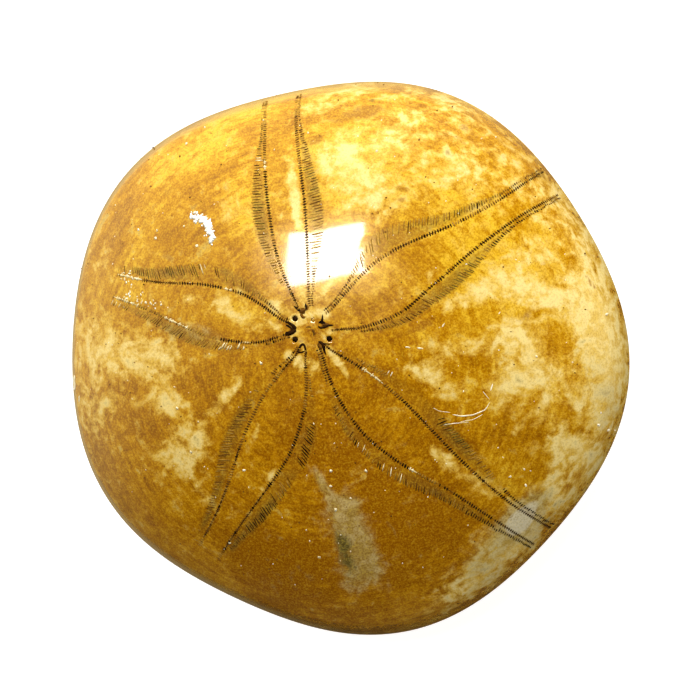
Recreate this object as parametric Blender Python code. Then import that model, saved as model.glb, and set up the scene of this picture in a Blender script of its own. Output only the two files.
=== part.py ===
"""A fossil sand dollar: the stone shell ("test") of a sea urchin relative, polished all over.

It is one solid piece. The frame is the animal's own: +Y is the front, +X its right-hand side, +Z up, with the
origin under the middle of the outline, on the surface that the fossil rests on.
Run it with: blender --background --python part.py
"""

import math

import bmesh
import bpy
import numpy as np
from mathutils import Matrix, Vector

MM = 0.001

# The outline seen from above: a circle with five shallow lobes and a little skew (shares of the radius).
OUTLINE_RADIUS = 39.3 * MM
LOBES = 0.020
LENGTHENING = -0.010
SHOULDERS = -0.006
SKEW = 0.0105

# The side view. Upper side: a dome over the widest line. Lower side: a rounded edge, a flat rim, a hollow.
HEIGHT = 28.0 * MM
WIDEST_AT = 9.5 * MM
DOME_ACROSS = 2.1
DOME_UP = 2.0
EDGE_SHARE = 0.18
RIM_SHARE = 0.10
HOLLOW_DEPTH = 3.2 * MM

# The top of the dome stands forward of the lobed circle's centre.
TOP_FORWARD = 4.5 * MM

# Openings that the living animal had, now shallow pits in the stone.
MOUTH_WIDTH, MOUTH_LENGTH, MOUTH_DEPTH = 7.0 * MM, 5.6 * MM, 2.4 * MM
MOUTH_FORWARD = 6.0 * MM
VENT_WIDTH, VENT_LENGTH, VENT_DEPTH = 4.4 * MM, 6.2 * MM, 1.8 * MM
VENT_BACK = 27.4 * MM
PORE_RADIUS, PORE_DEPTH = 0.36 * MM, 0.9 * MM
# Open egg pores round the top, from its middle. The front right one is filled level with stone, and the
# fifth place, at the back, never had one.
EGG_PORES = {
    "front_left": (-1.65 * MM, 1.75 * MM),
    "back_left": (-2.35 * MM, -0.95 * MM),
    "back_right": (2.30 * MM, -1.85 * MM),
}

# Rings run from the top down the dome, round the edge, across the flat rim and in to the middle underneath.
SEGMENTS, RINGS = 80, 44
DOME_RINGS, EDGE_RINGS, RIM_RINGS = 22, 7, 2
OUTLINE_STEPS = 1440


def outline_radius(turn):
    """Radius of the outline at an angle from +X: a cosine for each of its few features, measured from the front."""
    from_front = turn - math.pi / 2
    lobed = 1 - LOBES * np.cos(5 * from_front) + LENGTHENING * np.cos(2 * from_front)
    return OUTLINE_RADIUS * (lobed + SHOULDERS * np.cos(3 * from_front) + SKEW * np.sin(2 * from_front))


def outline_points():
    """X and Y of points all round the outline, from the lobed circle's centre."""
    around = np.linspace(0, 2 * math.pi, OUTLINE_STEPS, endpoint=False)
    return outline_radius(around) * np.cos(around), outline_radius(around) * np.sin(around)


def top_place():
    """X and Y of the top's axis, which puts the middle of the outline's box on the origin."""
    x, y = outline_points()
    return -(x.min() + x.max()) / 2, TOP_FORWARD - (y.min() + y.max()) / 2


def reach(turn):
    """Distance from the top's axis to the outline at each angle, read off the outline."""
    x, y = outline_points()
    angle = np.mod(np.arctan2(y - TOP_FORWARD, x), 2 * math.pi)
    order = np.argsort(angle)
    return np.interp(turn, angle[order], np.hypot(x, y - TOP_FORWARD)[order], period=2 * math.pi)


def section(ring):
    """(share of the reach, height) of each ring, from the top of the dome (0) to the middle underneath (RINGS).

    The dome and the edge are quarter turns of a superellipse, the rim is flat, and the hollow is a cosine wave.
    """
    quarter = math.pi / 2
    dome = np.clip(ring / DOME_RINGS, 0, 1) * quarter
    edge = np.clip((ring - DOME_RINGS) / EDGE_RINGS, 0, 1) * quarter
    rim = np.clip((ring - DOME_RINGS - EDGE_RINGS) / RIM_RINGS, 0, 1)
    last = RINGS - DOME_RINGS - EDGE_RINGS - RIM_RINGS
    under = np.clip((ring - DOME_RINGS - EDGE_RINGS - RIM_RINGS) / last, 0, 1)
    across = np.sin(dome) ** (2 / DOME_ACROSS) - EDGE_SHARE * (1 - np.cos(edge)) - RIM_SHARE * rim
    across = across * (1 - under)
    up = WIDEST_AT * (1 - np.sin(edge)) + (HEIGHT - WIDEST_AT) * np.cos(dome) ** (2 / DOME_UP)
    return across, up + HOLLOW_DEPTH * (1 - np.cos(math.pi * under)) / 2


def clear_scene():
    for obj in list(bpy.data.objects):
        bpy.data.objects.remove(obj, do_unlink=True)


def new_collection(name):
    made = bpy.data.collections.new(name)
    bpy.context.scene.collection.children.link(made)
    return made


def polished_stone():
    material = bpy.data.materials.new("polished_fossil_stone")
    material.use_nodes = True
    shader = material.node_tree.nodes["Principled BSDF"]
    shader.inputs["Base Color"].default_value = (0.47, 0.25, 0.04, 1)
    shader.inputs["Roughness"].default_value = 0.22
    shader.inputs["Metallic"].default_value = 0.0
    return material


def make_shell(collection):
    """A UV sphere whose rings are carried to the shell's section, and whose points to its outline."""
    top_x, top_y = top_place()
    mesh = bpy.data.meshes.new("fossil_sand_dollar")
    ball = bmesh.new()
    bmesh.ops.create_uvsphere(ball, u_segments=SEGMENTS, v_segments=RINGS, radius=1)
    for point in ball.verts:
        turn = math.atan2(point.co.y, point.co.x)
        ring = round(math.acos(max(-1.0, min(1.0, point.co.z))) / math.pi * RINGS)
        across, up = section(np.float64(ring))
        span = float(across * reach(turn))
        point.co = Vector((top_x + span * math.cos(turn), top_y + span * math.sin(turn), float(up)))
    bmesh.ops.recalc_face_normals(ball, faces=ball.faces)
    ball.to_mesh(mesh)
    ball.free()
    mesh.shade_smooth()
    shell = bpy.data.objects.new("fossil_sand_dollar", mesh)
    shell.data.materials.append(polished_stone())
    collection.objects.link(shell)
    return shell


def add_cutter(collection, name, mesh_maker, sizes, place):
    """One hidden solid, made at the origin, scaled in its mesh and then set in its place."""
    mesh = bpy.data.meshes.new(name)
    shape = bmesh.new()
    mesh_maker(shape)
    bmesh.ops.transform(shape, matrix=Matrix.Diagonal((*sizes, 1)), verts=shape.verts)
    shape.to_mesh(mesh)
    shape.free()
    cutter = bpy.data.objects.new(name, mesh)
    cutter.location = place
    cutter.hide_render = True
    cutter.display_type = "WIRE"
    collection.objects.link(cutter)
    return cutter


def round_ball(shape):
    bmesh.ops.create_uvsphere(shape, u_segments=20, v_segments=12, radius=1)


def round_bar(shape):
    bmesh.ops.create_cone(shape, cap_ends=True, segments=12, radius1=1, radius2=1, depth=2)


def cut(shell, cutter):
    hole = shell.modifiers.new(cutter.name, "BOOLEAN")
    hole.operation = "DIFFERENCE"
    hole.solver = "EXACT"
    hole.object = cutter


def dome_height(x, y):
    """Height of the dome over a point that is given from the top's axis."""
    share = math.hypot(x, y) / float(reach(math.atan2(y, x)))
    return WIDEST_AT + (HEIGHT - WIDEST_AT) * (1 - share**DOME_ACROSS) ** (1 / DOME_UP)


def main():
    clear_scene()
    shell = make_shell(new_collection("Fossil sand dollar"))
    cutters = new_collection("Cutters")
    cutters.hide_render = True
    mouth = (0, MOUTH_FORWARD, HOLLOW_DEPTH)
    cut(shell, add_cutter(cutters, "mouth", round_ball, (MOUTH_WIDTH / 2, MOUTH_LENGTH / 2, MOUTH_DEPTH), mouth))
    vent = (0, -VENT_BACK, 0)
    cut(shell, add_cutter(cutters, "vent", round_ball, (VENT_WIDTH / 2, VENT_LENGTH / 2, VENT_DEPTH), vent))
    top_x, top_y = top_place()
    for name, (x, y) in EGG_PORES.items():
        place = (top_x + x, top_y + y, dome_height(x, y))
        pore = add_cutter(cutters, "egg_pore_" + name, round_bar, (PORE_RADIUS, PORE_RADIUS, PORE_DEPTH), place)
        cut(shell, pore)


main()
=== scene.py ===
# %% [markdown]
# # A polished fossil sand dollar
#
# The real object is the stone shell of a sea urchin relative, filled with stone and polished like a
# pebble. What makes it worth looking at is on its surface: five petals of breathing pores, clouds of pale
# and amber calcite, chips, scratches and gloss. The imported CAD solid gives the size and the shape, and
# this script makes that surface around it.
#
# Every length below is in millimetres until a mesh is written, because the details are that small.

# %% Load the frame
import math

import bpy
import numpy as np
from mathutils import Matrix, Vector


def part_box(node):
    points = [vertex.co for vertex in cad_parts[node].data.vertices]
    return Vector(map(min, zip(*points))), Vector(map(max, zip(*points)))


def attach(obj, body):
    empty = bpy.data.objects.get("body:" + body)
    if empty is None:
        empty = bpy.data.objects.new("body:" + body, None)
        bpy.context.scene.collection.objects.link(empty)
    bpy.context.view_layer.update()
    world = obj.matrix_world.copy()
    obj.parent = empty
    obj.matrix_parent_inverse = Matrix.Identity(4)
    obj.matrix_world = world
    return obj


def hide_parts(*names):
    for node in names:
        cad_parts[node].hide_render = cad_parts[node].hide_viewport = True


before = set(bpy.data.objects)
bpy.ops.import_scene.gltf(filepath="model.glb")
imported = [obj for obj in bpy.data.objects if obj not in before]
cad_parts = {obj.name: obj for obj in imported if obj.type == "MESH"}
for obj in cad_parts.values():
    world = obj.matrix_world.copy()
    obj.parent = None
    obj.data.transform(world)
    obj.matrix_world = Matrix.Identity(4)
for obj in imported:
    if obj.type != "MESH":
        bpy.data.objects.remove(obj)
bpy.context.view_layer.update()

NODE = "fossil_sand_dollar"
MM = 0.001
low, high = (np.array(corner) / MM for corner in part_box(NODE))
print("the fossil measures", np.round(high - low, 1), "mm")

# %% [markdown]
# ## The smooth shell
#
# Everything sits on one smooth surface, so that comes first. It could be sculpted, or copied from the CAD
# mesh, but pores a fifth of a millimetre wide need a surface that can be asked for any point exactly. So
# it is a formula of two numbers. `turn` is the angle round the top of the dome, counter-clockwise from the
# animal's right. `station` runs from 0 at the top, over the edge at 1, round to the flat rim at 2, across
# it to 3, and in to the middle at 4.

# %% The outline
QUARTER = math.pi / 2
FULL = 2 * math.pi
OUTLINE_RADIUS = 39.3
LOBES, LENGTHENING, SHOULDERS, SKEW = 0.020, -0.010, -0.006, 0.0105
TOP_FORWARD = 4.5


def outline_radius(turn):
    """A circle with five shallow lobes: one cosine for each feature, measured from the animal's front."""
    from_front = turn - QUARTER
    lobed = 1 - LOBES * np.cos(5 * from_front) + LENGTHENING * np.cos(2 * from_front)
    return OUTLINE_RADIUS * (lobed + SHOULDERS * np.cos(3 * from_front) + SKEW * np.sin(2 * from_front))


AROUND = np.linspace(0, FULL, 1440, endpoint=False)
OUTLINE_X = outline_radius(AROUND) * np.cos(AROUND)
OUTLINE_Y = outline_radius(AROUND) * np.sin(AROUND)
TOP_X = -(OUTLINE_X.min() + OUTLINE_X.max()) / 2
TOP_Y = TOP_FORWARD - (OUTLINE_Y.min() + OUTLINE_Y.max()) / 2
OUTLINE_TURN = np.mod(np.arctan2(OUTLINE_Y - TOP_FORWARD, OUTLINE_X), FULL)
ORDER = np.argsort(OUTLINE_TURN)
OUTLINE_REACH = np.hypot(OUTLINE_X, OUTLINE_Y - TOP_FORWARD)


def reach(turn):
    """Distance from the top's axis to the outline, read off the outline at each angle."""
    return np.interp(turn, OUTLINE_TURN[ORDER], OUTLINE_REACH[ORDER], period=FULL)


print("the top stands", round(float(TOP_Y), 2), "mm forward of the middle of the outline")

# %% The section from the top to the middle underneath
HEIGHT = float(high[2])
WIDEST_AT = 9.5
DOME_ACROSS, DOME_UP = 2.1, 2.0
EDGE_SHARE, RIM_SHARE = 0.18, 0.10
HOLLOW_DEPTH = 3.2
UNDER = 4.0


def section(station):
    """Share of the reach, and height, at a station.

    The dome (0 to 1) and the edge (1 to 2) are quarter turns of a superellipse, the rim (2 to 3) is flat, and
    the hollow (3 to 4) is half a cosine wave.
    """
    dome, edge, rim, hollow = (np.clip(station - start, 0, 1) for start in range(4))
    across = np.sin(dome * QUARTER) ** (2 / DOME_ACROSS) - EDGE_SHARE * (1 - np.cos(edge * QUARTER))
    across = (across - RIM_SHARE * rim) * (1 - hollow)
    edge_up = WIDEST_AT * (1 - np.sin(edge * QUARTER))
    dome_up = (HEIGHT - WIDEST_AT) * np.cos(dome * QUARTER) ** (2 / DOME_UP)
    return across, edge_up + dome_up + HOLLOW_DEPTH * (1 - np.cos(math.pi * hollow)) / 2


def smooth_shell(station, turn):
    """A point of the smooth shell: the section's share times the reach goes out from the top's axis."""
    across, up = section(station)
    span = across * reach(turn)
    return np.stack([TOP_X + span * np.cos(turn), TOP_Y + span * np.sin(turn), up + 0 * turn], -1)


def outward(station, turn):
    """Unit normal of the smooth shell: the cross product of its two slopes, each taken over a small step."""
    step = 1e-4
    station = np.clip(station, 2e-3, UNDER - 2e-3)
    down = smooth_shell(station + step, turn) - smooth_shell(station - step, turn)
    along = smooth_shell(station, turn + step) - smooth_shell(station, turn - step)
    normal = np.cross(down, along)
    return normal / np.linalg.norm(normal, axis=-1, keepdims=True)


def station_over(x, y):
    """Station and turn of the dome over a plan point that is given from the top's axis."""
    turn = np.arctan2(y, x)
    share = np.clip(np.hypot(x, y) / reach(turn), 0, 0.9999)
    return np.arcsin(share ** (DOME_ACROSS / 2)) / QUARTER, turn


def station_under(x, y):
    """Station and turn of the hollow underneath, at a plan point that is given from the top's axis."""
    turn = np.arctan2(y, x)
    share = np.hypot(x, y) / reach(turn) / (1 - EDGE_SHARE - RIM_SHARE)
    return 3 + np.clip(1 - share, 0, 0.9999), turn


print("half-way down the dome:", np.round(smooth_shell(np.array([0.5]), np.array([0.0]))[0], 2))

# %% [markdown]
# ## The petals
#
# Each petal is a pair of rows of breathing pores that leave the top together, spread, and draw in again.
# They could be drawn as five copies of one petal, but on a real shell no two are alike: the front one is
# narrow, the back ones are long. So each has its own heading and half width, given at a few distances from
# the top and softened in between.

# %% Headings and widths
HEADING_AT = (3, 10, 16, 28, 40)
WIDTH_AT = (3, 7, 10, 13, 16, 19, 22, 25, 28, 31, 36, 41)
CLOCKWISE, COUNTER = -1, 1
PETALS = {
    "front": {
        "heading": (92.5, 91.1, 89.3, 88.4, 88.4),
        "half_width": (0.7, 1.54, 2.05, 2.34, 2.48, 2.54, 2.45, 2.34, 2.2, 2.25, 2.3, 2.3),
        "end": 32.5,
    },
    "front_right": {
        "heading": (6.6, 13.2, 17.1, 18.4, 19.8),
        "half_width": (1.08, 2.65, 3.43, 3.85, 3.44, 3.0, 2.39, 2.01, 1.78, 1.66, 1.9, 1.95),
        "end": 36.6,
    },
    "back_right": {
        "heading": (291.8, 294.8, 296.4, 300.8, 302.7),
        "half_width": (0.3, 1.85, 2.72, 3.25, 3.52, 3.37, 3.02, 2.53, 2.04, 1.8, 1.55, 1.6),
        "end": 41.6,
    },
    "back_left": {
        "heading": (238.2, 236.9, 235.6, 232.0, 228.5),
        "half_width": (0.29, 1.84, 2.78, 3.21, 3.41, 3.26, 2.77, 2.33, 1.94, 1.73, 1.6, 1.6),
        "end": 35.5,
    },
    "front_left": {
        "heading": (166.5, 158.7, 156.9, 155.7, 155.5),
        "half_width": (0.61, 2.45, 3.23, 3.44, 3.23, 2.72, 2.1, 1.78, 1.6, 1.5, 1.5, 1.5),
        "end": 29.5,
    },
}
print("petals:", ", ".join(PETALS))

# %% How far the outer pores reach
ZONE_AT = (3, 8, 12, 15, 18, 21, 24, 27, 30, 34, 41)
ZONES = {
    ("front", COUNTER): (0.35, 0.9, 1.8, 2.25, 2.33, 1.85, 1.45, 0.6, 0.5, 0.45, 0.4),
    ("front", CLOCKWISE): (0.35, 1.2, 2.3, 2.5, 2.3, 1.93, 1.5, 0.85, 0.6, 0.5, 0.4),
    ("front_right", COUNTER): (0.55, 0.7, 2.6, 3.5, 3.0, 2.3, 1.7, 1.4, 0.8, 0.7, 0.6),
    ("front_right", CLOCKWISE): (0.35, 0.8, 1.6, 2.0, 2.3, 2.57, 1.8, 1.2, 0.8, 0.7, 0.6),
    ("back_right", COUNTER): (0.35, 0.9, 1.6, 2.1, 2.3, 2.4, 2.4, 2.2, 1.8, 1.0, 0.8),
    ("back_right", CLOCKWISE): (0.5, 0.7, 1.6, 2.0, 2.2, 2.5, 2.4, 1.95, 1.7, 1.3, 0.8),
    ("back_left", COUNTER): (0.3, 0.7, 2.0, 2.6, 2.85, 2.5, 2.6, 2.4, 1.4, 0.8, 0.6),
    ("back_left", CLOCKWISE): (0.35, 1.0, 1.7, 2.1, 2.5, 2.65, 2.1, 1.75, 1.4, 1.2, 1.0),
    ("front_left", COUNTER): (0.4, 0.8, 1.5, 2.0, 1.95, 1.6, 1.4, 1.3, 1.2, 1.2, 1.2),
    ("front_left", CLOCKWISE): (0.4, 1.2, 2.1, 2.95, 2.73, 2.3, 1.75, 1.45, 1.3, 1.2, 1.2),
}
SOFTENING = np.linspace(-1.2, 1.2, 9)
FAR_ASIDE = 99.0


def softened(at, values, distance):
    """A broken line through the values, averaged over a short window so that its corners turn into curves."""
    return np.interp(np.asarray(distance)[..., None] + SOFTENING, at, values).mean(-1)


def heading(petal, distance):
    """The angle of a petal's middle line at a distance from the top, in radians."""
    return np.radians(softened(HEADING_AT, PETALS[petal]["heading"], distance))


def half_width(petal, distance):
    return softened(WIDTH_AT, PETALS[petal]["half_width"], distance)


def zone_width(petal, side, distance):
    return softened(ZONE_AT, ZONES[petal, side], distance)


def row_turn(petal, side, distance):
    """The angle of an inner pore row: an arc sine of half the petal's width, to a side of its heading."""
    opening = np.arcsin(np.clip(half_width(petal, distance) / distance, 0, 0.95))
    return heading(petal, distance) + side * opening


def beside(petal, x, y):
    """Distance of plan points from a petal's middle line, positive counter-clockwise, and from the top."""
    distance = np.hypot(x, y)
    aside = np.mod(np.arctan2(y, x) - heading(petal, distance) + math.pi, FULL) - math.pi
    return np.where(np.abs(aside) < QUARTER, distance * np.sin(aside), FAR_ASIDE), distance


for name in PETALS:
    widest = 2 * max(PETALS[name]["half_width"])
    print(f"petal {name}: {widest:.1f} mm wide, {PETALS[name]['end']:.0f} mm long")

# %% [markdown]
# ## Relief
#
# Polishing leaves only a trace of relief: the rows lie in faint furrows, the middle of each petal stands a
# little proud, and three egg pores are still open holes. That could be a bump texture, but a hole should
# be a hole from every side, so relief is real height, added along the shell's normal.

# %% Relief of the upper side
EGG_PORES = {"front_left": (-1.66, 1.75), "back_left": (-2.30, -0.97), "back_right": (2.25, -1.92)}
FILLED_PORE = (0.72, 1.07)
EGG_PORE_RADIUS, EGG_PORE_DEPTH = 0.36, 0.55
FURROW_DEPTH, FURROW_HALF = 0.016, 0.34
SWELL, ZONE_DIP = 0.03, 0.02
DISC_RADIUS, DISC_RISE = 3.1, 0.008
SIEVE_PLACE, SIEVE_RISE, SIEVE_HALF = (-0.15, -0.1), 0.03, 0.8
FILLED_RADIUS, FILLED_DIP = 0.3, 0.03


def bell(value, half):
    """A bell curve: 1 at zero, about a third at `half`, and nothing far out."""
    return np.exp(-((value / half) ** 2))


def ease(value, start, end):
    """0 before start and 1 after end, with a smooth S between."""
    share = np.clip((value - start) / (end - start), 0, 1)
    return share * share * (3 - 2 * share)


def petal_relief(petal, x, y):
    """Furrows along both rows, a shallow dip over the outer pores and a swell between the rows."""
    across, distance = beside(petal, x, y)
    fade = ease(distance, 9, 16) * (1 - ease(distance, PETALS[petal]["end"] - 4, PETALS[petal]["end"] + 1))
    half = half_width(petal, distance)
    height = SWELL * bell(across, np.maximum(0.75 * half, 0.3))
    for side in (CLOCKWISE, COUNTER):
        beyond = side * across - half
        zone = zone_width(petal, side, distance)
        height = height - FURROW_DEPTH * bell(beyond, FURROW_HALF)
        height = height - ZONE_DIP * ease(beyond, 0, 0.4) * (1 - ease(beyond, zone - 0.3, zone + 0.3))
    return height * fade


def disc_relief(x, y):
    """The top plate stands a hair proud, with its sieve plate in the middle and its egg pores sunk in."""
    height = DISC_RISE * (1 - ease(np.hypot(x, y), DISC_RADIUS - 1.0, DISC_RADIUS + 0.6))
    height = height + SIEVE_RISE * bell(np.hypot(x - SIEVE_PLACE[0], y - SIEVE_PLACE[1]), SIEVE_HALF)
    for pore_x, pore_y in EGG_PORES.values():
        gap = np.hypot(x - pore_x, y - pore_y)
        height = height - EGG_PORE_DEPTH * (1 - ease(gap, EGG_PORE_RADIUS - 0.08, EGG_PORE_RADIUS + 0.06))
    gap = np.hypot(x - FILLED_PORE[0], y - FILLED_PORE[1])
    return height - FILLED_DIP * bell(gap - FILLED_RADIUS, 0.08)


# %% [markdown]
# The underside is out of sight here, but the object is seen from every side. It follows how this kind is
# built: a mouth with five lips in the hollow, a short double row of larger pores running out from between
# each two lips, and the vent near the back edge.

# %% Relief of the underside
# x, y, half width, half length
MOUTH, VENT = (0.0, 0.5, 3.5, 2.8), (0.0, -32.9, 2.2, 3.1)
MOUTH_DEEP, VENT_DEEP = 2.2, 1.7
LIP_DISTANCE, LIP_SIZE, LIP_HEIGHT = 4.9, 1.5, 0.55
LEAF_START, LEAF_END, LEAF_HALF, LEAF_DEEP = 4.2, 10.0, 0.8, 0.18


def oval_gap(x, y, oval):
    """Distance from an oval's middle as a share of its half sizes: 1 on its rim."""
    middle_x, middle_y, half_x, half_y = oval
    return np.hypot((x - middle_x) / half_x, (y - middle_y) / half_y)


def leaf_bands(petal, x, y, half, fade):
    """A bell across each of a leaf's two rows, eased in at its start and out over `fade` before its end."""
    across, distance = beside(petal, x, y)
    along = ease(distance, LEAF_START - 1, LEAF_START) * (1 - ease(distance, LEAF_END - fade, LEAF_END + 1))
    return bell(np.abs(across) - LEAF_HALF, half) * along


def under_relief(x, y):
    """Pits are flat-bottomed wells with eased walls, lips are bells, and leaves are shallow grooves."""
    height = -MOUTH_DEEP * (1 - ease(oval_gap(x, y, MOUTH), 0.45, 1.05))
    height = height - VENT_DEEP * (1 - ease(oval_gap(x, y, VENT), 0.4, 1.02))
    for petal in PETALS:
        height = height - LEAF_DEEP * leaf_bands(petal, x, y, 0.45, 2)
        lip = math.radians(PETALS[petal]["heading"][2]) + math.pi / 5
        lip_x, lip_y = MOUTH[0] + LIP_DISTANCE * math.cos(lip), MOUTH[1] + LIP_DISTANCE * math.sin(lip)
        height = height + LIP_HEIGHT * bell(np.hypot(x - lip_x, y - lip_y), LIP_SIZE)
    return height


def relief(station, turn):
    """Height over the smooth shell: the upper relief before the edge, and the lower one after it."""
    across, _ = section(station)
    span = across * reach(turn)
    x, y = span * np.cos(turn), span * np.sin(turn)
    upper = disc_relief(x, y) + sum(petal_relief(petal, x, y) for petal in PETALS)
    return upper * (station < 1.02) + under_relief(x, y) * (station > 1.5)


def on_shell(station, turn, lift=0.0):
    """A point of the finished surface, lifted off it by a height in millimetres."""
    height = relief(station, turn) + lift
    return smooth_shell(station, turn) + outward(station, turn) * height[..., None]


deepest = float(disc_relief(*np.array(EGG_PORES["front_left"])))
print("the egg pores are", round(-deepest, 2), "mm deep")

# %% [markdown]
# ## Writing meshes
#
# Each new piece is whole arrays of points and faces. `from_pydata` would do, but it wants Python lists,
# and this surface has nearly a hundred thousand points, so the arrays go in with `foreach_set`.

# %% From arrays to an object
PIECES = []


def make_piece(name, points, faces, material):
    """Points are (n, 3), in millimetres. Each array of faces holds faces of one number of corners."""
    corners = np.concatenate([block.ravel() for block in faces]).astype(np.int32)
    sizes = np.concatenate([np.full(len(block), block.shape[1]) for block in faces])
    mesh = bpy.data.meshes.new(name)
    mesh.vertices.add(len(points))
    mesh.vertices.foreach_set("co", np.ascontiguousarray(points * MM, dtype=np.float32).ravel())
    mesh.loops.add(len(corners))
    mesh.loops.foreach_set("vertex_index", corners)
    mesh.polygons.add(len(sizes))
    mesh.polygons.foreach_set("loop_start", (np.cumsum(sizes) - sizes).astype(np.int32))
    mesh.update(calc_edges=True)
    mesh.validate()
    mesh.shade_smooth()
    piece = bpy.data.objects.new(name, mesh)
    bpy.context.scene.collection.objects.link(piece)
    mesh.materials.append(material)
    PIECES.append(piece)
    triangles = int((sizes - 2).sum())
    print(f"{name}: {len(points)} points, {triangles} triangles")
    return piece


# %% [markdown]
# ## Materials
#
# A stone's colour is arithmetic on noise, and arithmetic reads best as Python. So `Wire` wraps an output
# socket and turns `+ - * /` into Math nodes, and `Finish` is a material with one method that adds any
# other node. The same could be done with a node group for each idea, but expressions stay readable when
# the stone gets complicated.

# %% Sockets that do arithmetic
class Wire:
    """An output socket of a node tree. Arithmetic on it adds Math nodes."""

    def __init__(self, owner, socket):
        self.owner, self.socket = owner, socket

    def math(self, operation, first, second):
        return self.owner.node("ShaderNodeMath", {"operation": operation}, {0: first, 1: second})

    def __add__(self, other):
        return self.math("ADD", self, other)

    def __sub__(self, other):
        return self.math("SUBTRACT", self, other)

    def __mul__(self, other):
        return self.math("MULTIPLY", self, other)

    def __truediv__(self, other):
        return self.math("DIVIDE", self, other)

    def __rsub__(self, other):
        return self.math("SUBTRACT", other, self)

    __radd__ = __add__
    __rmul__ = __mul__


print("a wire knows + - * and /")

# %% Node trees and finishes
class Nodes:
    """A node tree with one method that adds any node, and its last shader."""

    def __init__(self, owner, shader):
        owner.use_nodes = True
        self.tree = owner.node_tree
        self.shader = self.tree.nodes[shader]

    def node(self, kind, settings=None, inputs=None, output=0):
        """Adds a node: settings first, then each socket gets a number, a colour or a link."""
        made = self.tree.nodes.new(kind)
        for key, value in (settings or {}).items():
            setattr(made, key, value)
        for key, value in (inputs or {}).items():
            self.put(made.inputs[key], value)
        return Wire(self, made.outputs[output])

    def put(self, socket, value):
        if isinstance(value, Wire):
            self.tree.links.new(value.socket, socket)
        else:
            socket.default_value = value

    def surface(self, **sockets):
        """Sets sockets of the last shader by name, with spaces written as underscores."""
        for key, value in sockets.items():
            self.put(self.shader.inputs[key.replace("_", " ")], value)

    def vector(self, operation, first, second=None):
        """Vector maths. SCALE takes a number second, and LENGTH and DOT_PRODUCT give a number."""
        sockets = {0: first} if second is None else {0: first, "Scale" if operation == "SCALE" else 1: second}
        output = "Value" if operation in ("LENGTH", "DOT_PRODUCT") else "Vector"
        return self.node("ShaderNodeVectorMath", {"operation": operation}, sockets, output)

    def ramp(self, value, start, end, low=0.0, high=1.0):
        """Eases from low to high as the value goes from start to end."""
        sockets = {"Value": value, "From Min": start, "From Max": end, "To Min": low, "To Max": high}
        return self.node("ShaderNodeMapRange", {"interpolation_type": "SMOOTHSTEP"}, sockets)

    def mix(self, share, first, second, how="MIX"):
        """A colour that goes from the first to the second as share goes from 0 to 1."""
        settings = {"data_type": "RGBA", "blend_type": how}
        return self.node("ShaderNodeMix", settings, {0: share, 6: first, 7: second}, output=2)


class Finish(Nodes):
    """A material, read at places in millimetres."""

    def __init__(self, name):
        self.material = bpy.data.materials.new(name)
        super().__init__(self.material, "Principled BSDF")
        self.place = self.vector("SCALE", self.node("ShaderNodeTexCoord", output="Object"), 1 / MM)

    def noise(self, size, detail=4.0, place=None, roughness=0.55):
        """Noise from about 0.25 to 0.75 whose blotches are about `size` millimetres across."""
        sockets = {"Vector": place or self.place, "Scale": 1 / size, "Detail": detail, "Roughness": roughness}
        return self.node("ShaderNodeTexNoise", None, sockets)

    def painted(self, name):
        """A number that the mesh carries at each of its points."""
        return self.node("ShaderNodeAttribute", {"attribute_name": name}, output="Fac")

    def bump(self, height, depth, strength=1.0):
        """A normal for small relief: height from 0 to 1 stands for `depth` millimetres."""
        sockets = {"Height": height, "Distance": depth * MM, "Strength": strength}
        return self.node("ShaderNodeBump", None, sockets)


def rgb(red, green, blue):
    return (red, green, blue, 1.0)


print("the shader language is ready")
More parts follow.
